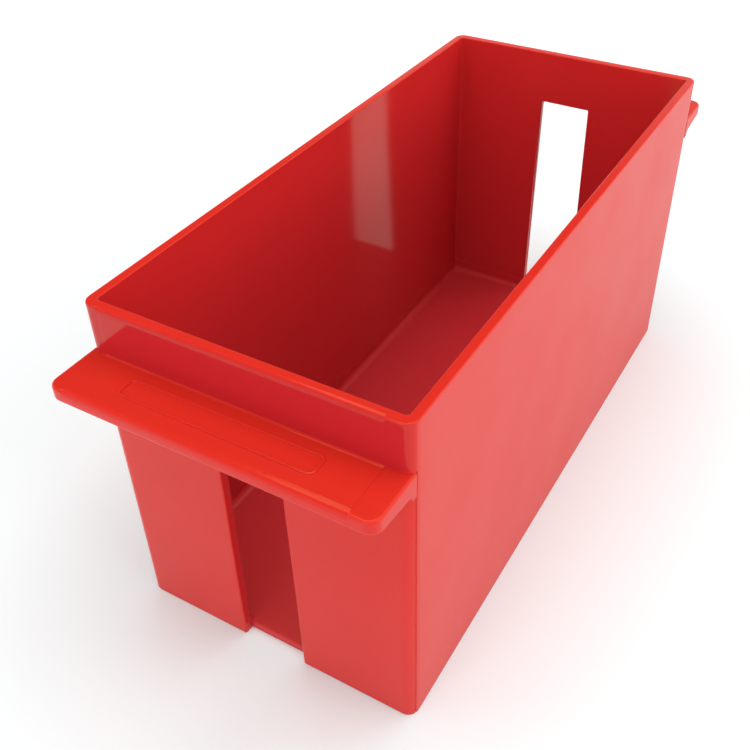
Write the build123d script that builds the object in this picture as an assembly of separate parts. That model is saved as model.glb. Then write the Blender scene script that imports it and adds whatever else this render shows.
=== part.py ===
"""Open tray for rolled coins: one plastic moulding, divided into its named features.

Millimetres. The origin is on the table under the middle of the tray, +Z is up, the tray's length runs
along Y with the label end at -Y, and X runs across it. Neighbouring features meet face to face.
"""
from build123d import *
import math
import os

# Box
BODY_WIDTH = 88.9
BODY_LENGTH = 196.4
BODY_HEIGHT = 104.1
SIDE_WALL = 2.6
END_WALL = 2.9
FLOOR_THICKNESS = 2.7
OUTER_CORNER_RADIUS = 3.3
INNER_CORNER_RADIUS = 1.0
FLOOR_COVE_RADIUS = 2.0
RIM_ROUND = 0.4
BASE_ROUND = 0.5
END_SECTION_DEPTH = 6.0      # how much of the box's length belongs to an end wall and its corners

# Lift ledge across each end
LEDGE_TOP = 90.1
LEDGE_EDGE_THICKNESS = 3.9
LEDGE_ROOT_THICKNESS = 5.5   # the underside slopes, so the ledge is thicker where it meets the wall
LEDGE_DEPTH = 15.1
LEDGE_CORNER_RADIUS = 3.3
LEDGE_COVE_RADIUS = 2.0
LEDGE_UPPER_ROUND = 1.1
LEDGE_LOWER_ROUND = 0.6
LEDGE_END_INSET = 0.05       # keeps the ends of a ledge just inside the box's side faces

# Slot in each end wall, open at the bottom and a little wider there
SLOT_TOP_WIDTH = 18.1
SLOT_BOTTOM_WIDTH = 19.8
SLOT_TOP_CORNER_RADIUS = 0.5

# Raised label field on the front header and ledge, with a plain frame
LABEL_WIDTH = 78.0
LABEL_MIDDLE_X = -0.9
LABEL_THICKNESS = 0.2
LABEL_INNER_RADIUS = 0.5
FRAME_LENGTH = 54.0
FRAME_WIDTH = 6.6
FRAME_CORNER_RADIUS = 1.4
FRAME_LINE = 0.7
FRAME_HEIGHT = 0.3
FRAME_FROM_WALL = 6.6        # from the front wall to the middle of the frame

HALF_WIDTH = BODY_WIDTH / 2
HALF_LENGTH = BODY_LENGTH / 2
INNER_HALF_WIDTH = HALF_WIDTH - SIDE_WALL
INNER_HALF_LENGTH = HALF_LENGTH - END_WALL
COVE_TOE_X = INNER_HALF_WIDTH - FLOOR_COVE_RADIUS
COVE_TOE_Y = INNER_HALF_LENGTH - FLOOR_COVE_RADIUS
SECTION_Y = HALF_LENGTH - END_SECTION_DEPTH
LEDGE_UNDERSIDE = LEDGE_TOP - LEDGE_EDGE_THICKNESS
LEDGE_ROOT_Z = LEDGE_TOP - LEDGE_ROOT_THICKNESS
LEDGE_EDGE_Y = HALF_LENGTH + LEDGE_DEPTH
LEDGE_HALF_WIDTH = HALF_WIDTH - LEDGE_END_INSET
SLOT_TOP = LEDGE_UNDERSIDE
SLOT_HALF_BOTTOM = SLOT_BOTTOM_WIDTH / 2

ENDS = {"front": -1, "rear": 1}
SIDES = {"left": -1, "right": 1}


def block(x0, x1, y0, y1, z0, z1):
    """Box between the given limits, in either order."""
    middle = ((x0 + x1) / 2, (y0 + y1) / 2, (z0 + z1) / 2)
    return Pos(*middle) * Box(abs(x1 - x0), abs(y1 - y0), abs(z1 - z0))


def at_end(shape, end):
    """A shape drawn for the rear end, turned round when it is for the front."""
    return shape if end > 0 else Rot(0, 0, 180) * shape


def outer_prism():
    """Outside of the box, with its corners and its rim and base edges rounded."""
    prism = extrude(RectangleRounded(BODY_WIDTH, BODY_LENGTH, OUTER_CORNER_RADIUS), BODY_HEIGHT)
    prism = fillet(prism.faces().sort_by(Axis.Z)[-1].edges(), RIM_ROUND)
    return fillet(prism.faces().sort_by(Axis.Z)[0].edges(), BASE_ROUND)


def trough(plane, half_span, length):
    """Inside of the box as seen along one wall pair: straight sides and a coved floor, open upward."""
    outline = Pos(0, FLOOR_THICKNESS + BODY_HEIGHT / 2) * Rectangle(2 * half_span, BODY_HEIGHT)
    outline = fillet(outline.vertices().sort_by(Axis.Y)[:2], FLOOR_COVE_RADIUS)
    return extrude(plane * outline, length / 2, both=True)


def cavity():
    """Inside of the box, down to the floor, with the cove round its foot and rounded upright corners."""
    outline = RectangleRounded(2 * INNER_HALF_WIDTH, 2 * INNER_HALF_LENGTH, INNER_CORNER_RADIUS)
    prism = Pos(0, 0, FLOOR_THICKNESS) * extrude(outline, BODY_HEIGHT)
    across = trough(Plane.XZ, INNER_HALF_WIDTH, BODY_LENGTH)
    along = trough(Plane.YZ, INNER_HALF_LENGTH, BODY_WIDTH)
    return prism & across & along


def slot_space():
    """Both slots, as one tapered bar with rounded top corners, kept clear of the floor and the cavity."""
    half_top = SLOT_TOP_WIDTH / 2
    corners = [(-SLOT_HALF_BOTTOM, 0), (SLOT_HALF_BOTTOM, 0), (half_top, SLOT_TOP), (-half_top, SLOT_TOP)]
    outline = make_face(Polyline(*corners, close=True))
    outline = fillet(outline.vertices().sort_by(Axis.Y)[-2:], SLOT_TOP_CORNER_RADIUS)
    bar = extrude(Plane.XZ * outline, BODY_LENGTH, both=True)
    above_floor = block(-BODY_WIDTH, BODY_WIDTH, -COVE_TOE_Y, COVE_TOE_Y, 0, BODY_HEIGHT)
    floor = block(-BODY_WIDTH, BODY_WIDTH, -INNER_HALF_LENGTH, INNER_HALF_LENGTH, 0, FLOOR_THICKNESS)
    return bar - above_floor - floor


def floor_panel():
    """Flat plate inside the toe of the cove, with a tongue out to the wall's inner face at each slot."""
    plate = block(-COVE_TOE_X, COVE_TOE_X, -COVE_TOE_Y, COVE_TOE_Y, 0, FLOOR_THICKNESS)
    return plate + block(-SLOT_HALF_BOTTOM, SLOT_HALF_BOTTOM, -INNER_HALF_LENGTH, INNER_HALF_LENGTH,
                         0, FLOOR_THICKNESS)


def wall_ring():
    """All four walls together, from the table to the rim, with the slots cut."""
    return outer_prism() - cavity() - floor_panel() - slot_space()


def side_wall(ring, side):
    """Long wall between the two end sections, with its share of the cove."""
    return ring & block(0, side * HALF_WIDTH, -SECTION_Y, SECTION_Y, 0, BODY_HEIGHT)


def end_panel(ring, end, side):
    """End wall from the slot round the corner, up to the height of the slot's top."""
    return ring & block(0, side * HALF_WIDTH, end * SECTION_Y, end * HALF_LENGTH, 0, SLOT_TOP)


def end_header(ring, end):
    """Band of end wall above the slot, with both corners and the rim."""
    return ring & block(-HALF_WIDTH, HALF_WIDTH, end * SECTION_Y, end * HALF_LENGTH, SLOT_TOP, BODY_HEIGHT)


def ledge_bar():
    """Ledge at the rear end before it is fitted: flat top, sloping underside and a cove at the wall."""
    inner_y = HALF_LENGTH - OUTER_CORNER_RADIUS
    slope = math.atan2(LEDGE_ROOT_THICKNESS - LEDGE_EDGE_THICKNESS, LEDGE_DEPTH)
    cove_foot = LEDGE_ROOT_Z - LEDGE_COVE_RADIUS / math.tan(math.pi / 4 + slope / 2)
    section = make_face(Polyline((HALF_LENGTH, LEDGE_ROOT_Z), (HALF_LENGTH, cove_foot), (inner_y, cove_foot),
                                 (inner_y, LEDGE_TOP), (LEDGE_EDGE_Y, LEDGE_TOP),
                                 (LEDGE_EDGE_Y, LEDGE_UNDERSIDE), close=True))
    inner_corner = section.vertices().sort_by_distance((HALF_LENGTH, LEDGE_ROOT_Z))[0]
    section = fillet(inner_corner, LEDGE_COVE_RADIUS * 0.999)
    bar = extrude(Plane.YZ * section, LEDGE_HALF_WIDTH, both=True)
    corners = bar.edges().filter_by(Axis.Z).sort_by(Axis.Y)[-2:]
    bar = fillet(corners, LEDGE_CORNER_RADIUS)
    middle_y = HALF_LENGTH + LEDGE_DEPTH / 2
    underside = bar.faces().sort_by_distance((0, middle_y, (LEDGE_UNDERSIDE + LEDGE_ROOT_Z) / 2))[0]
    bar = fillet(underside.edges().sort_by(Axis.Y)[1:], LEDGE_LOWER_ROUND)
    top = bar.faces().filter_by(Axis.Z).sort_by(Axis.Z)[-1]
    return fillet(top.edges().sort_by(Axis.Y)[1:], LEDGE_UPPER_ROUND)


def lift_ledge(end):
    """Ledge fitted round the box's end, with its underside cut level where the slot passes."""
    return at_end(ledge_bar(), end) - outer_prism() - slot_space()


def label_plate():
    """Slightly raised field: one leg up the front header, one leg out over the front ledge."""
    wall = -HALF_LENGTH
    face = wall - LABEL_THICKNESS
    top = LEDGE_TOP + LABEL_THICKNESS
    front = -(LEDGE_EDGE_Y - LEDGE_UPPER_ROUND)
    head = BODY_HEIGHT - RIM_ROUND
    section = make_face(Polyline((wall, LEDGE_TOP), (wall, head), (face, head), (face, top),
                                 (front, top), (front, LEDGE_TOP), close=True))
    inner_corner = section.vertices().sort_by_distance((face, top))[0]
    section = fillet(inner_corner, LABEL_INNER_RADIUS)
    return Pos(LABEL_MIDDLE_X, 0, 0) * extrude(Plane.YZ * section, LABEL_WIDTH / 2, both=True)


def label_frame():
    """Plain raised outline on the ledge's label field."""
    outline = RectangleRounded(FRAME_LENGTH, FRAME_WIDTH, FRAME_CORNER_RADIUS)
    inside = RectangleRounded(FRAME_LENGTH - 2 * FRAME_LINE, FRAME_WIDTH - 2 * FRAME_LINE,
                              FRAME_CORNER_RADIUS - FRAME_LINE)
    place = Pos(LABEL_MIDDLE_X, -(HALF_LENGTH + FRAME_FROM_WALL), LEDGE_TOP + LABEL_THICKNESS)
    return place * extrude(outline - inside, FRAME_HEIGHT)


def tray_nodes():
    """Every named feature of the tray."""
    ring = wall_ring()
    nodes = {"floor_panel": floor_panel(), "label_plate": label_plate(), "label_frame": label_frame()}
    for side_name, side in SIDES.items():
        nodes[f"{side_name}_side_wall"] = side_wall(ring, side)
    for end_name, end in ENDS.items():
        nodes[f"{end_name}_header"] = end_header(ring, end)
        nodes[f"{end_name}_ledge"] = lift_ledge(end)
        for side_name, side in SIDES.items():
            nodes[f"{end_name}_{side_name}_panel"] = end_panel(ring, end, side)
    return nodes


os.makedirs("parts", exist_ok=True)
for name, shape in tray_nodes().items():
    export_step(shape, f"parts/{name}.step")
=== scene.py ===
"""Visual model of a one-piece red plastic tray for rolled coins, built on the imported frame.

Metres, in the frame's own axes: the tray stands on z = 0 with its length along Y and its label end at -Y.
The tray is one moulding, so its pieces are the moulding's features. Each is a closed mesh of rounded
cross-sections that meets its neighbours at the frame's own section planes. Sizes come from the frame's
boxes; the small radii that a box can't give are named below.
"""
import math

import bmesh
import bpy
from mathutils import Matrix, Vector


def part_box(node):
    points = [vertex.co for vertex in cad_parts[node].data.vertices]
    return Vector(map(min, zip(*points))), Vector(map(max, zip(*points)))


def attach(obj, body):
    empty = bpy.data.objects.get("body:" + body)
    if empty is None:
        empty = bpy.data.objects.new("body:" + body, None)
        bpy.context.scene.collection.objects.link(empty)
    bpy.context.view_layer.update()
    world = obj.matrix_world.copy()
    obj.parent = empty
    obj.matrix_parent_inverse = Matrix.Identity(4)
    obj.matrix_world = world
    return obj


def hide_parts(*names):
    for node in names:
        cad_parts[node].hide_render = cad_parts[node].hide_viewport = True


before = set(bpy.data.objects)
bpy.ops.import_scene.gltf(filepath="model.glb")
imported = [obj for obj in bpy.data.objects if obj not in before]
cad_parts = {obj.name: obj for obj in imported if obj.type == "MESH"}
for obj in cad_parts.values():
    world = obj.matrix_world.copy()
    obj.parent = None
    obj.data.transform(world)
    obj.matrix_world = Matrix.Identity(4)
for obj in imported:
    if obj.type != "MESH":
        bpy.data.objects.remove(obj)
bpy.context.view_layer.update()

MM = 0.001

# Read from the frame: box, floor and ledge
side_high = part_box("right_side_wall")[1]
panel_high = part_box("rear_right_panel")[1]
floor_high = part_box("floor_panel")[1]
ledge_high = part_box("rear_ledge")[1]
plate_low, plate_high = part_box("label_plate")
mark_low, mark_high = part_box("label_frame")
HALF_WIDTH = side_high.x
HALF_LENGTH = panel_high.y
RIM_Z = side_high.z
SECTION_Y = side_high.y          # where a side wall ends and an end section begins
LINTEL_Z = panel_high.z          # top of the slots, and the ledges' underside at their front edge
FLOOR_Z = floor_high.z
INNER_HALF_LENGTH = floor_high.y
COVE_TOE_X = floor_high.x
LEDGE_Z = ledge_high.z
LEDGE_HALF = ledge_high.x
LEDGE_EDGE_Y = ledge_high.y

# Radii and small features
FLOOR_COVE = 2.0 * MM
OUTER_CORNER = 3.3 * MM
INNER_CORNER = 1.0 * MM
BASE_ROUND = 0.5 * MM
RIM_ROUND = 0.4 * MM
RIM_INNER_ROUND = 0.3 * MM
LABEL_RIM_ROUND = 1.2 * MM       # the rim and the ledge's edge are rounder along the label field
LABEL_EDGE_ROUND = 1.6 * MM
SLOT_HALF_TOP = 9.05 * MM
SLOT_HALF_BOTTOM = 9.9 * MM
SLOT_CORNER = 0.5 * MM
JAMB_ROUND = 0.45 * MM
TONGUE_ROUND = 0.6 * MM          # front edge of the floor in each slot
LEDGE_CORNER = 3.3 * MM
LEDGE_UPPER_ROUND = 0.8 * MM
LEDGE_LOWER_ROUND = 0.6 * MM
LEDGE_DROP = 1.6 * MM            # how much lower a ledge's underside is at the wall than at the front
LEDGE_COVE = 2.0 * MM            # between the wall and that sloping underside
LEDGE_ROOT = 1.2 * MM            # how far a ledge runs into the wall behind it
LEDGE_LEG = 43.2 * MM            # outside this the ledge runs round the box's corner
PARTING_FROM_END = 2.0 * MM      # parting line of the end slides, on each corner of the box
PARTING_WIDTH = 0.5 * MM
PARTING_DEPTH = 0.25 * MM
FIELD_LIFT = 0.1 * MM            # label field above the ledge and header
FIELD_END_WIDTH = 0.4 * MM       # run-out of the rounder rim and edge at each end of the label field
FIELD_INNER_ROUND = 0.6 * MM
FIELD_THIN = 0.01 * MM           # the lining on the header is this thin at each end
FIELD_THINNING = 1.5 * MM        # and reaches its full thickness this far in
FIELD_FEATHER = 0.3 * MM         # run-out of the label field's lining at its top and front
FIELD_ROOT = 0.5 * MM            # how far that lining goes into the wall and ledge
FRAME_LINE = 0.8 * MM
FRAME_LIFT = 0.35 * MM
FRAME_CORNER = 1.5 * MM
FRAME_BEAD = (                   # section of the frame's line, in shares of its width and height
    (0.5, -0.6), (0.46, 0.5), (0.34, 0.9), (0.12, 1),
    (-0.12, 1), (-0.34, 0.9), (-0.46, 0.5), (-0.5, -0.6),
)

# Steps in each kind of arc, and along a long wall
COVE_STEPS = 6
CORNER_STEPS = 8                 # corners of the box and of the ledges
EDGE_STEPS = 5                   # rims, upper ledge edges and the label field's inner cove
SLOT_STEPS = 4                   # round the slots: jambs, top corners and floor tongues
SMALL_EDGE_STEPS = 3             # base, inner rim and lower ledge edges
FRAME_CORNER_STEPS = 6
WALL_STEPS = 8
WELD_DISTANCE = 1e-7
SHARP_ANGLE = 32                 # degrees

# Material
RED_DEEP = (0.60, 0.0205, 0.0210)      # the plastic clouds slowly between this and the next
RED_LIGHT = (0.635, 0.0215, 0.0220)
RED_PAINTED_TOP_LIGHT = (0.62, 0.0240, 0.0145)        # painted light on faces that look up, such as rims and ledge tops: a little more orange
RED_PAINTED_INNER_SHADE = (0.58, 0.0290, 0.0365)    # painted shade on the inside walls, deepening towards their foot: a little darker and duller
RED_PAINTED_FLOOR_SHADE = (0.49, 0.0235, 0.0305)     # painted shade on the inner floor and other faces inside that look up
RED_PAINTED_SIDE_SHEEN = (0.62, 0.0345, 0.0315)      # painted sheen on the outsides of the long walls: lighter and pinker
RED_PAINTED_HEADER_SHADE = (0.51, 0.0180, 0.0235)    # painted shade on the end walls above the ledges: a deeper crimson
PLASTIC_IOR = 1.33
SHEEN_TINT = (1.0, 0.78, 0.35)
GLOSS_ROUGHNESS = (0.07, 0.11)
MATT_ROUGHNESS = (0.35, 0.41)    # outsides of the long walls, and the inner floor with its cove
MOULD_TEXTURE_SCALE = 1400
MOULD_TEXTURE_BUMP = (0.2, 0.01 * MM)    # strength and height
WAVE_SCALE = 12
WAVE_BUMP = (0.6, 1.0 * MM)
CLOUD_SCALE = 40
CLOUD_BAND = (0.25, 0.75)        # noise values that give the first and second of a pair of reds or gloss

# Where the painted light and shade and the gloss change: each pair is where a change starts and where it
# is complete
OUTSIDE_BAND = (0.4 * MM, 0.1 * MM)      # in from a long wall's outer face
WITHIN_WIDTH_BAND = (1.0 * MM, 1.6 * MM)    # the same
WITHIN_LENGTH_BAND = (1.0 * MM, 1.8 * MM)    # in from an end wall's outer face
HEADER_BAND = (2.5 * MM, 0.2 * MM)       # the same
HEADER_RISE = (0.3 * MM, 1.0 * MM)       # above the ledges
DEPTH_BAND = (1, 0.1)            # shares of the rim's height, going down; the painted shade inside grows over this
FOOT_BAND = (0.12, 0.05)         # the same
UPWARD_BAND = (0.5, 0.9)         # Z of the surface's normal

# Studio
FLOOR_RADIUS = 6.0
FLOOR_COLOUR = (0.73, 0.78, 0.78)
FLOOR_GLOW = (0.08, 0.9)         # near the tray and far away
FLOOR_GLOW_BAND = (0.08, 1.3)    # distance from the middle
FLOOR_SEGMENTS = 96
FLOOR_GAP = 0.02 * MM            # under the tray
HORIZON_BAND = (0.3, 0.5)        # sine of the elevation where the surroundings fade from white
HORIZON_STRENGTH = 0.95
OVERHEAD_STRENGTH = 0.06
SOFTBOXES = (                    # name, place, width of the square box, watts
    ("overhead", (0, 0, 1.6), 1.6, 22),
    ("right", (1.5, 0, 0.8), 1.2, 10),
    ("front", (0, -1.5, 0.8), 1.2, 8),
    ("rear right", (0.6, 1.0, 1.1), 1.2, 6),
    ("left", (-1.5, -0.5, 0.8), 1.2, 3),
)
LENS = 46.13
SENSOR = 36.0
CAMERA_SHIFT = (-0.0284, -0.0356)
CAMERA_PLACE = (0.1115, -0.2194, 0.2328)
CAMERA_TURN = (51.88, 0.63, 29.73)    # degrees about X, Y and Z
CLIP_START = 0.01

INNER_HALF_WIDTH = COVE_TOE_X + FLOOR_COVE
LABEL_REACH = {1: plate_high.x, -1: -plate_low.x}    # how far the label field goes to each side
OUTER = (HALF_WIDTH, HALF_LENGTH, OUTER_CORNER)
INNER = (INNER_HALF_WIDTH, INNER_HALF_LENGTH, INNER_CORNER)

ENDS = {"front": -1, "rear": 1}
SIDES = {"left": -1, "right": 1}


def lerp(a, b, t):
    """The value a share t of the way from a to b."""
    return a + (b - a) * t


def steps(count):
    """Shares from 0 to 1, both included, in equal steps."""
    return [i / count for i in range(count + 1)]


def quarter(count):
    """(1 - cos, 1 - sin) of the angles of a quarter circle, from 0 to 90 degrees."""
    angles = [share * math.pi / 2 for share in steps(count)]
    return [(1 - math.cos(angle), 1 - math.sin(angle)) for angle in angles]


# ---- meshes -------------------------------------------------------------------------------------------

def finish_piece(name, bm, material, *nodes):
    """Turn a closed bmesh into a smooth-shaded piece that stands for its CAD nodes."""
    bmesh.ops.remove_doubles(bm, verts=bm.verts, dist=WELD_DISTANCE)
    bmesh.ops.recalc_face_normals(bm, faces=bm.faces)
    mesh = bpy.data.meshes.new(name)
    bm.to_mesh(mesh)
    bm.free()
    mesh.shade_smooth()
    mesh.set_sharp_from_angle(angle=math.radians(SHARP_ANGLE))
    piece = bpy.data.objects.new(name, mesh)
    bpy.context.scene.collection.objects.link(piece)
    weighted = piece.modifiers.new("weighted normals", "WEIGHTED_NORMAL")
    weighted.keep_sharp = True
    mesh.materials.append(material)
    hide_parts(*nodes)
    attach(piece, "root")


def loft(sections, closed_path=False):
    """Closed mesh through equal loops of points, capped at both ends unless the path itself closes."""
    bm = bmesh.new()
    rows = [[bm.verts.new(point) for point in section] for section in sections]
    pairs = list(zip(rows, rows[1:]))
    if closed_path:
        pairs.append((rows[-1], rows[0]))
    for row, following in pairs:
        for i in range(len(row)):
            j = (i + 1) % len(row)
            bm.faces.new((row[i], row[j], following[j], following[i]))
    if not closed_path:
        bm.faces.new(rows[0])
        bm.faces.new(rows[-1])
    return bm


# ---- walls --------------------------------------------------------------------------------------------
# A wall section is a loop of (family, inset, height). A family is the outer or the inner face: its half
# width, half length and corner radius. Inset is measured from that face towards the tray's middle.

def foot_section():
    """From the inner face at the top of the cove, down and under the wall, to the outer face."""
    cove = [(INNER, FLOOR_COVE * a, FLOOR_Z + FLOOR_COVE * b) for a, b in quarter(COVE_STEPS)]
    base = [(OUTER, BASE_ROUND * b, BASE_ROUND * a) for a, b in quarter(SMALL_EDGE_STEPS)]
    return cove + [(INNER, FLOOR_COVE, 0)] + base


def rim_section(rim_round):
    """From the outer face over the rim to the inner face."""
    outer = [(OUTER, rim_round * a, RIM_Z - rim_round * b) for a, b in quarter(EDGE_STEPS)]
    inner_arc = quarter(SMALL_EDGE_STEPS)
    inner = [(INNER, -RIM_INNER_ROUND * a, RIM_Z - RIM_INNER_ROUND * b) for a, b in inner_arc]
    return outer + inner[::-1]


def jamb_x(height):
    """Half width of a slot at a height: a taper, with a rounded corner under the lintel."""
    rise = max(0, height - (LINTEL_Z - SLOT_CORNER))
    corner = SLOT_CORNER - math.sqrt(max(0, SLOT_CORNER**2 - rise**2))
    return lerp(SLOT_HALF_BOTTOM, SLOT_HALF_TOP, height / LINTEL_Z) - corner


def plan_point(family, inset, height, station):
    """Where a wall section's point stands in plan at a station, in the +X +Y quarter of the tray."""
    zone, amount = station
    half_width, half_length, radius = family
    centre_x = half_width - radius
    centre_y = half_length - radius
    if zone == "jamb":
        a, b = amount
        recess = JAMB_ROUND * b
        if family is INNER:
            recess *= -min(1, max(0, (height - FLOOR_Z) / FLOOR_COVE))
        return jamb_x(height) + JAMB_ROUND * a, half_length - inset - recess
    if zone == "panel":
        return lerp(jamb_x(height) + JAMB_ROUND, centre_x, amount), half_length - inset
    if zone == "header":
        return centre_x * amount, half_length - inset
    if zone == "parting" and family is OUTER and height <= LEDGE_Z:
        inset += PARTING_DEPTH
    if zone in ("corner", "parting"):
        centre_x = min(centre_x, half_width - inset)
        centre_y = min(centre_y, half_length - inset)
        reach = max(0, radius - inset)
        return centre_x + reach * math.sin(amount), centre_y + reach * math.cos(amount)
    return half_width - inset, lerp(centre_y, SECTION_Y, amount)


def corner_stations():
    """Round a corner of the box and on to the side wall, with the parting line of the end slide."""
    parting = math.acos(1 - PARTING_FROM_END / OUTER_CORNER)
    half_groove = PARTING_WIDTH / 2 / OUTER_CORNER
    angles = [share * math.pi / 2 for share in steps(CORNER_STEPS)]
    plain = [("corner", angle) for angle in angles if abs(angle - parting) > 2 * half_groove]
    edges = [("corner", parting - half_groove), ("corner", parting + half_groove)]
    round_corner = sorted(plain + edges + [("parting", parting)], key=lambda station: station[1])
    return round_corner + [("side", 1)]


def place(section, station, side, end):
    """A wall section's points at a station, in the quarter of the tray given by side and end."""
    points = []
    for family, inset, height in section:
        x, y = plan_point(family, inset, height, station)
        points.append((side * x, end * y, height))
    return points


def side_wall(side):
    """Long wall, with the cove along its foot."""
    section = foot_section() + [(OUTER, 0, LINTEL_Z)] + rim_section(RIM_ROUND) + [(INNER, 0, LINTEL_Z)]
    sections = []
    for share in steps(WALL_STEPS):
        y = lerp(-SECTION_Y, SECTION_Y, share)
        sections.append([(side * (family[0] - inset), y, z) for family, inset, z in section])
    return loft(sections)


def end_panel(side, end):
    """End wall from the rounded jamb of the slot to the corner and round it."""
    levels = [LINTEL_Z - SLOT_CORNER * b for a, b in quarter(SLOT_STEPS)]
    section = foot_section() + [(OUTER, 0, z) for z in levels] + [(INNER, 0, z) for z in reversed(levels)]
    stations = [("jamb", share) for share in quarter(SLOT_STEPS)]
    stations += [("panel", share) for share in (0.25, 0.5, 0.75)]
    stations += corner_stations()
    return loft([place(section, station, side, end) for station in stations])


def end_header(end, labelled):
    """Band of end wall above the slot; its rim is rounder within the label field."""
    def section(rim_round):
        groove_top = [(OUTER, 0, LINTEL_Z), (OUTER, 0, LEDGE_Z), (OUTER, 0, LEDGE_Z + PARTING_DEPTH)]
        return groove_top + rim_section(rim_round) + [(INNER, 0, LINTEL_Z)]

    plain = section(RIM_ROUND)
    soft = section(LABEL_RIM_ROUND)
    reach = HALF_WIDTH - OUTER_CORNER
    halves = {}
    for side in SIDES.values():
        half = [(plain, station) for station in reversed(corner_stations())]
        if labelled:
            half.append((plain, ("header", LABEL_REACH[side] / reach)))
            half.append((soft, ("header", (LABEL_REACH[side] - FIELD_END_WIDTH) / reach)))
        half += [(soft if labelled else plain, ("header", share)) for share in (0.7, 0.4, 0.1)]
        halves[side] = [place(loop, station, side, end) for loop, station in half]
    return loft(halves[-1] + halves[1][::-1])


def floor_panel():
    """Floor plate with a tongue into each slot, its front edge rounded."""
    def ring(pull_back, z):
        tongue_y = INNER_HALF_LENGTH - pull_back
        quarter_turn = [(SLOT_HALF_BOTTOM, tongue_y), (SLOT_HALF_BOTTOM, INNER_HALF_LENGTH - FLOOR_COVE)]
        quarter_turn.append((COVE_TOE_X, INNER_HALF_LENGTH - FLOOR_COVE))
        half = quarter_turn + [(x, -y) for x, y in reversed(quarter_turn)]
        return [(x, y, z) for x, y in half + [(-x, y) for x, y in reversed(half)]]

    rings = [ring(0, 0)]
    rings += [ring(TONGUE_ROUND * a, FLOOR_Z - TONGUE_ROUND * b) for a, b in quarter(SLOT_STEPS)]
    return loft(rings)


# ---- ledges -------------------------------------------------------------------------------------------

def underside(y):
    """Height of a ledge's sloping underside, which reaches the slot's top at the front edge's rounding."""
    share = (y - HALF_LENGTH) / (LEDGE_EDGE_Y - LEDGE_LOWER_ROUND - HALF_LENGTH)
    return lerp(LINTEL_Z - LEDGE_DROP, LINTEL_Z, share)


def ledge_cove():
    """(y, z) of the cove under a ledge, from the wall to the sloping underside."""
    slope = math.atan2(LEDGE_DROP, LEDGE_EDGE_Y - LEDGE_LOWER_ROUND - HALF_LENGTH)
    centre_y = HALF_LENGTH + LEDGE_COVE
    centre_z = underside(HALF_LENGTH) - LEDGE_COVE / math.tan(math.pi / 4 + slope / 2)
    points = []
    for share in steps(COVE_STEPS):
        angle = lerp(math.pi, math.pi / 2 + slope, share)
        points.append((centre_y + LEDGE_COVE * math.cos(angle), centre_z + LEDGE_COVE * math.sin(angle)))
    return points


def ledge_edge(x, y, normal_x, normal_y, bottom, upper_round=LEDGE_UPPER_ROUND):
    """The ledge's rounded edge at one place of its outline, from the top face to the underside."""
    upper_arc = reversed(quarter(EDGE_STEPS))
    lower_arc = quarter(SMALL_EDGE_STEPS)
    upper = [(upper_round * a, LEDGE_Z - upper_round * b) for a, b in upper_arc]
    lower = [(LEDGE_LOWER_ROUND * a, bottom + LEDGE_LOWER_ROUND * b) for a, b in lower_arc]
    return [(x - normal_x * inset, y - normal_y * inset, z) for inset, z in upper + lower]


def ledge_edges(label_reach):
    """Rounded edges along half a ledge, from the wall round the corner to the side of the slot."""
    leg_y = HALF_LENGTH - PARTING_FROM_END + PARTING_WIDTH / 2
    cove = ledge_cove()
    edges = [ledge_edge(LEDGE_HALF, y, 1, 0, z) for y, z in [(leg_y, cove[0][1])] + cove]
    for share in steps(CORNER_STEPS):
        x = math.cos(share * math.pi / 2)
        y = math.sin(share * math.pi / 2)
        place_x = LEDGE_HALF - LEDGE_CORNER * (1 - x)
        place_y = LEDGE_EDGE_Y - LEDGE_CORNER * (1 - y)
        edges.append(ledge_edge(place_x, place_y, x, y, underside(place_y - LEDGE_LOWER_ROUND * y)))
    if label_reach:
        soft_reach = label_reach - FIELD_END_WIDTH
        edges.append(ledge_edge(label_reach, LEDGE_EDGE_Y, 0, 1, LINTEL_Z))
        edges.append(ledge_edge(soft_reach, LEDGE_EDGE_Y, 0, 1, LINTEL_Z, LABEL_EDGE_ROUND))
    front_round = LABEL_EDGE_ROUND if label_reach else LEDGE_UPPER_ROUND
    return edges + [ledge_edge(SLOT_HALF_TOP, LEDGE_EDGE_Y, 0, 1, LINTEL_Z, front_round)]


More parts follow.
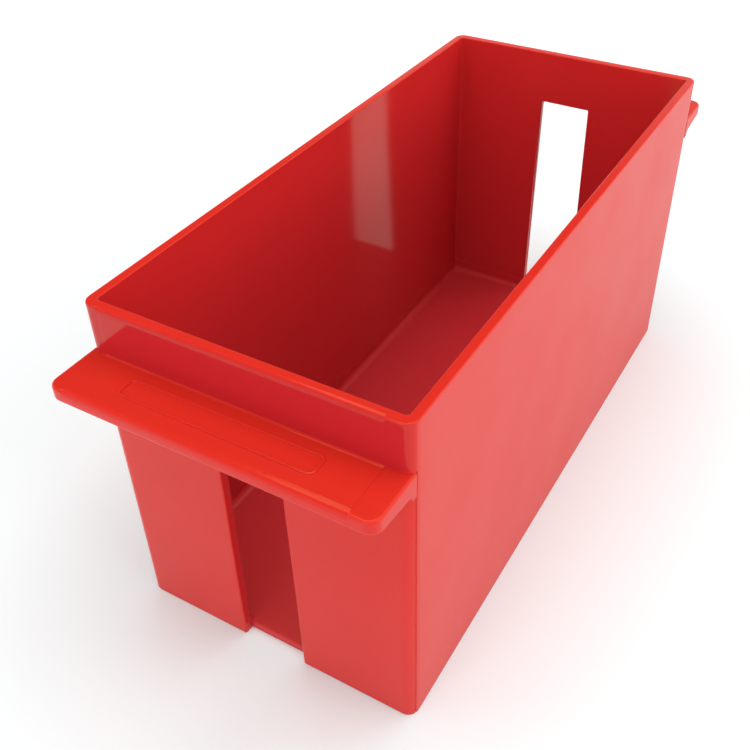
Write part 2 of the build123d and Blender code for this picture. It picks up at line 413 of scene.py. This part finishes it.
def lift_ledge(end, labelled):
    """Ledge with rounded edges, a sloping underside and a cove, cut level where the slot passes."""
    bm = bmesh.new()
    root_y = HALF_LENGTH - LEDGE_ROOT
    cove = ledge_cove()
    foot_z = cove[0][1]

    def vertex(x, y, z):
        return bm.verts.new((x, end * y, z))

    def half(side):
        """Edge strips, hidden back corners and the slot's edge on one side."""
        reach = LABEL_REACH[side] if labelled else 0
        strips = [[vertex(side * x, y, z) for x, y, z in edge] for edge in ledge_edges(reach)]
        leg_y = HALF_LENGTH - PARTING_FROM_END + PARTING_WIDTH / 2
        leg = [vertex(side * LEDGE_LEG, leg_y, z) for z in (LEDGE_Z, foot_z)]
        root = [vertex(side * LEDGE_LEG, root_y, z) for z in (LEDGE_Z, foot_z)]
        slot = [vertex(side * SLOT_HALF_TOP, root_y, z) for z in (foot_z, LINTEL_Z)]
        lip = [vertex(side * SLOT_HALF_TOP, y, z) for y, z in cove]
        return strips, leg, root, slot, lip

    right = half(1)
    left = half(-1)
    strips = right[0] + left[0][::-1]
    for strip, following in zip(strips, strips[1:]):
        for i in range(len(strip) - 1):
            bm.faces.new((strip[i], strip[i + 1], following[i + 1], following[i]))

    # Top face and the hidden back
    bm.faces.new([strip[0] for strip in strips] + [left[1][0], left[2][0], right[2][0], right[1][0]])
    bm.faces.new([right[2][1], right[2][0], left[2][0], left[2][1]] + left[3] + right[3][::-1])

    # Ends, the underside on each side of the slot with its cove, and the slot's sides
    for edge_strips, leg, root, slot, lip in (right, left):
        bottoms = [strip[-1] for strip in edge_strips]
        bm.faces.new(edge_strips[0] + [leg[1], leg[0]])
        bm.faces.new((leg[0], leg[1], root[1], root[0]))
        bm.faces.new((bottoms[0], bottoms[1], lip[0], slot[0], root[1], leg[1]))
        for i in range(COVE_STEPS):
            bm.faces.new((bottoms[i + 1], bottoms[i + 2], lip[i + 1], lip[i]))
        bm.faces.new(bottoms[COVE_STEPS + 1:] + [lip[-1]])
        bm.faces.new(lip + [bottoms[-1], slot[1], slot[0]])
    bm.faces.new((right[0][-1][-1], left[0][-1][-1], left[3][1], right[3][1]))
    return bm


# ---- label field --------------------------------------------------------------------------------------

def label_section(face_y):
    """Outline of the label field's lining where its face on the header stands at face_y."""
    top_z = LEDGE_Z + FIELD_LIFT
    rim_z = RIM_Z - LABEL_RIM_ROUND
    front_y = LEDGE_EDGE_Y - LABEL_EDGE_ROUND
    back_y = HALF_LENGTH - FIELD_ROOT
    section = [(back_y, rim_z), (HALF_LENGTH, rim_z), (face_y, rim_z - FIELD_FEATHER)]
    for a, b in quarter(EDGE_STEPS):
        section.append((face_y + FIELD_INNER_ROUND * a, top_z + FIELD_INNER_ROUND * b))
    section += [(front_y - FIELD_FEATHER, top_z), (front_y, LEDGE_Z)]
    return section + [(front_y, LEDGE_Z - FIELD_ROOT), (back_y, LEDGE_Z - FIELD_ROOT)]


def label_field():
    """Very thin lining of the ledge and the header where a mould insert sits, with a small inner cove."""
    left = -LABEL_REACH[-1] + FIELD_END_WIDTH
    right = LABEL_REACH[1] - FIELD_END_WIDTH
    stations = [
        (left, FIELD_THIN),
        (left + FIELD_THINNING, FIELD_LIFT),
        ((left + right) / 2, FIELD_LIFT),
        (right - FIELD_THINNING, FIELD_LIFT),
        (right, FIELD_THIN),
    ]
    sections = []
    for x, lift in stations:
        sections.append([(x, ENDS["front"] * y, z) for y, z in label_section(HALF_LENGTH + lift)])
    return loft(sections)


def label_frame():
    """Plain raised outline on the label field."""
    centre = (mark_low + mark_high) / 2
    half_x = (mark_high.x - mark_low.x - FRAME_LINE) / 2
    half_y = (mark_high.y - mark_low.y - FRAME_LINE) / 2
    sections = []
    for turn in range(4):
        sign_x = 1 if turn in (0, 3) else -1
        sign_y = 1 if turn in (0, 1) else -1
        middle_x = centre.x + sign_x * (half_x - FRAME_CORNER)
        middle_y = centre.y + sign_y * (half_y - FRAME_CORNER)
        middle = Vector((middle_x, middle_y))
        for share in steps(FRAME_CORNER_STEPS):
            angle = (turn + share) * math.pi / 2
            outward = Vector((math.cos(angle), math.sin(angle)))
            loop = []
            for across, up in FRAME_BEAD:
                point = middle + outward * (FRAME_CORNER + across * FRAME_LINE)
                loop.append((point.x, point.y, LEDGE_Z + FIELD_LIFT + up * FRAME_LIFT))
            sections.append(loop)
    return loft(sections, closed_path=True)


# ---- material -----------------------------------------------------------------------------------------

def inward(face, band):
    """Where a band measured inward from a face starts and ends."""
    return face - band[0], face - band[1]


def red_plastic():
    """Moulded red plastic, glossy or matt, with painted light and shade that differ by place, and a fine
    texture.
    """
    material = bpy.data.materials.new("moulded red plastic")
    material.use_nodes = True
    tree = material.node_tree
    nodes = tree.nodes
    shader = nodes["Principled BSDF"]
    shader.inputs["IOR"].default_value = PLASTIC_IOR
    shader.inputs["Specular Tint"].default_value = (*SHEEN_TINT, 1)
    object_place = nodes.new("ShaderNodeTexCoord").outputs["Object"]

    def noise(scale, detail):
        node = nodes.new("ShaderNodeTexNoise")
        node.inputs["Scale"].default_value = scale
        node.inputs["Detail"].default_value = detail
        tree.links.new(object_place, node.inputs["Vector"])
        return node.outputs["Fac"]

    def ramp(value, start, stop, low=0, high=1, clamp=True):
        node = nodes.new("ShaderNodeMapRange")
        node.clamp = clamp
        node.inputs["From Min"].default_value = start
        node.inputs["From Max"].default_value = stop
        node.inputs["To Min"].default_value = low
        node.inputs["To Max"].default_value = high
        tree.links.new(value, node.inputs["Value"])
        return node.outputs["Result"]

    def calculate(operation, *values):
        node = nodes.new("ShaderNodeMath")
        node.operation = operation
        for value, socket in zip(values, node.inputs):
            tree.links.new(value, socket)
        return node.outputs["Value"]

    def blend(factor, first, second):
        node = nodes.new("ShaderNodeMix")
        node.data_type = "RGBA"
        tree.links.new(factor, node.inputs["Factor"])
        for name, colour in (("A", first), ("B", second)):
            if isinstance(colour, tuple):
                node.inputs[name].default_value = (*colour, 1)
            else:
                tree.links.new(colour, node.inputs[name])
        return node.outputs["Result"]

    def bump(height, strength, distance, normal=None):
        node = nodes.new("ShaderNodeBump")
        node.inputs["Strength"].default_value = strength
        node.inputs["Distance"].default_value = distance
        tree.links.new(height, node.inputs["Height"])
        if normal is not None:
            tree.links.new(normal, node.inputs["Normal"])
        return node.outputs["Normal"]

    mould_texture = noise(MOULD_TEXTURE_SCALE, 2)
    cloudiness = noise(CLOUD_SCALE, 2)
    waviness = noise(WAVE_SCALE, 0)

    position = nodes.new("ShaderNodeSeparateXYZ")
    tree.links.new(object_place, position.inputs["Vector"])
    facing = nodes.new("ShaderNodeSeparateXYZ")
    tree.links.new(nodes.new("ShaderNodeNewGeometry").outputs["Normal"], facing.inputs["Vector"])
    across = calculate("ABSOLUTE", position.outputs["X"])
    along = calculate("ABSOLUTE", position.outputs["Y"])
    height = position.outputs["Z"]
    outside = ramp(across, *inward(HALF_WIDTH, OUTSIDE_BAND))
    within_width = ramp(across, *inward(HALF_WIDTH, WITHIN_WIDTH_BAND))
    within_length = ramp(along, *inward(HALF_LENGTH, WITHIN_LENGTH_BAND))
    within = calculate("MULTIPLY", within_width, within_length)
    # Painted shade inside the tray, growing from the rim towards the floor
    depth = calculate("MULTIPLY", within, ramp(height, *[share * RIM_Z for share in DEPTH_BAND]))
    upward = ramp(facing.outputs["Z"], *UPWARD_BAND)
    clouds = blend(ramp(cloudiness, *CLOUD_BAND, clamp=False), RED_DEEP, RED_LIGHT)
    # Painted shade darkens the end walls above the ledges
    above_ledge = ramp(height, *[LEDGE_Z + rise for rise in HEADER_RISE])
    header = calculate("MULTIPLY", ramp(along, *inward(HALF_LENGTH, HEADER_BAND)), above_ledge)
    # Faces that look up get painted light, a little more orange
    ends = blend(upward, blend(header, clouds, RED_PAINTED_HEADER_SHADE), RED_PAINTED_TOP_LIGHT)
    # The outsides of the long walls get a painted sheen, lighter and pinker
    outer = blend(outside, ends, RED_PAINTED_SIDE_SHEEN)
    # Inside, the walls and the up-facing floor get painted shade
    inner = blend(upward, RED_PAINTED_INNER_SHADE, RED_PAINTED_FLOOR_SHADE)
    tree.links.new(blend(depth, outer, inner), shader.inputs["Base Color"])

    foot = calculate("MULTIPLY", within, ramp(height, *[share * RIM_Z for share in FOOT_BAND]))
    roughness = nodes.new("ShaderNodeMix")
    tree.links.new(calculate("MAXIMUM", outside, foot), roughness.inputs["Factor"])
    tree.links.new(ramp(cloudiness, *CLOUD_BAND, *GLOSS_ROUGHNESS, clamp=False), roughness.inputs["A"])
    tree.links.new(ramp(cloudiness, *CLOUD_BAND, *MATT_ROUGHNESS, clamp=False), roughness.inputs["B"])
    tree.links.new(roughness.outputs["Result"], shader.inputs["Roughness"])
    slow = bump(waviness, *WAVE_BUMP)
    fine = bump(mould_texture, *MOULD_TEXTURE_BUMP, slow)
    tree.links.new(fine, shader.inputs["Normal"])
    return material


# ---- the tray -----------------------------------------------------------------------------------------

def build_tray():
    """Every piece of the moulding, in place of its CAD node."""
    plastic = red_plastic()
    finish_piece("tray_floor", floor_panel(), plastic, "floor_panel")
    for side_name, side in SIDES.items():
        finish_piece(f"tray_{side_name}_wall", side_wall(side), plastic, f"{side_name}_side_wall")
    for end_name, end in ENDS.items():
        labelled = end_name == "front"
        finish_piece(f"tray_{end_name}_header", end_header(end, labelled), plastic, f"{end_name}_header")
        finish_piece(f"tray_{end_name}_ledge", lift_ledge(end, labelled), plastic, f"{end_name}_ledge")
        for side_name, side in SIDES.items():
            finish_piece(f"tray_{end_name}_{side_name}_panel", end_panel(side, end), plastic,
                         f"{end_name}_{side_name}_panel")
    finish_piece("label_field", label_field(), plastic, "label_plate")
    finish_piece("label_outline", label_frame(), plastic, "label_frame")


# ---- studio -------------------------------------------------------------------------------------------

def floor_material():
    """Even pale surface that glows a little, and more towards its far edge."""
    material = bpy.data.materials.new("white floor")
    material.use_nodes = True
    tree = material.node_tree
    shader = tree.nodes["Principled BSDF"]
    shader.inputs["Base Color"].default_value = (*FLOOR_COLOUR, 1)
    shader.inputs["Roughness"].default_value = 1
    shader.inputs["Specular IOR Level"].default_value = 0
    shader.inputs["Emission Color"].default_value = (1, 1, 1, 1)
    distance = tree.nodes.new("ShaderNodeVectorMath")
    distance.operation = "LENGTH"
    glow = tree.nodes.new("ShaderNodeMapRange")
    glow.inputs["From Min"].default_value, glow.inputs["From Max"].default_value = FLOOR_GLOW_BAND
    glow.inputs["To Min"].default_value, glow.inputs["To Max"].default_value = FLOOR_GLOW
    tree.links.new(tree.nodes.new("ShaderNodeTexCoord").outputs["Object"], distance.inputs[0])
    tree.links.new(distance.outputs["Value"], glow.inputs["Value"])
    tree.links.new(glow.outputs["Result"], shader.inputs["Emission Strength"])
    return material


def studio_floor():
    """Large round pale floor, just under the tray."""
    bm = bmesh.new()
    bmesh.ops.create_circle(bm, cap_ends=True, segments=FLOOR_SEGMENTS, radius=FLOOR_RADIUS)
    mesh = bpy.data.meshes.new("studio_floor")
    bm.to_mesh(mesh)
    bm.free()
    floor = bpy.data.objects.new("studio_floor", mesh)
    floor.location.z = -FLOOR_GAP
    mesh.materials.append(floor_material())
    bpy.context.scene.collection.objects.link(floor)


def soft_light(name, location, width, power):
    """Square softbox aimed at the middle of the tray."""
    data = bpy.data.lights.new(name, "AREA")
    data.shape = "SQUARE"
    data.size = width
    data.energy = power
    light = bpy.data.objects.new(name, data)
    light.location = location
    light.rotation_euler = (Vector((0, 0, RIM_Z / 2)) - light.location).to_track_quat("-Z", "Y").to_euler()
    bpy.context.scene.collection.objects.link(light)


def studio_world():
    """White surroundings near the horizon, darker overhead."""
    world = bpy.data.worlds.new("studio")
    world.use_nodes = True
    tree = world.node_tree
    direction = tree.nodes.new("ShaderNodeTexCoord").outputs["Generated"]
    split = tree.nodes.new("ShaderNodeSeparateXYZ")
    fade = tree.nodes.new("ShaderNodeMapRange")
    fade.interpolation_type = "SMOOTHSTEP"
    fade.inputs["From Min"].default_value, fade.inputs["From Max"].default_value = HORIZON_BAND
    fade.inputs["To Min"].default_value = HORIZON_STRENGTH
    fade.inputs["To Max"].default_value = OVERHEAD_STRENGTH
    background = tree.nodes["Background"]
    background.inputs["Color"].default_value = (1, 1, 1, 1)
    tree.links.new(direction, split.inputs["Vector"])
    tree.links.new(split.outputs["Z"], fade.inputs["Value"])
    tree.links.new(fade.outputs["Result"], background.inputs["Strength"])
    bpy.context.scene.world = world


def camera():
    """Camera above the front right corner of the tray."""
    data = bpy.data.cameras.new("camera")
    data.lens = LENS
    data.sensor_width = SENSOR
    data.shift_x, data.shift_y = CAMERA_SHIFT
    data.clip_start = CLIP_START
    data.clip_end = 4 * FLOOR_RADIUS
    eye = bpy.data.objects.new("camera", data)
    eye.location = CAMERA_PLACE
    eye.rotation_euler = [math.radians(angle) for angle in CAMERA_TURN]
    bpy.context.scene.collection.objects.link(eye)
    bpy.context.scene.camera = eye


build_tray()
studio_floor()
studio_world()
for softbox in SOFTBOXES:
    soft_light(*softbox)
camera()
bpy.context.scene.view_settings.view_transform = "Standard"
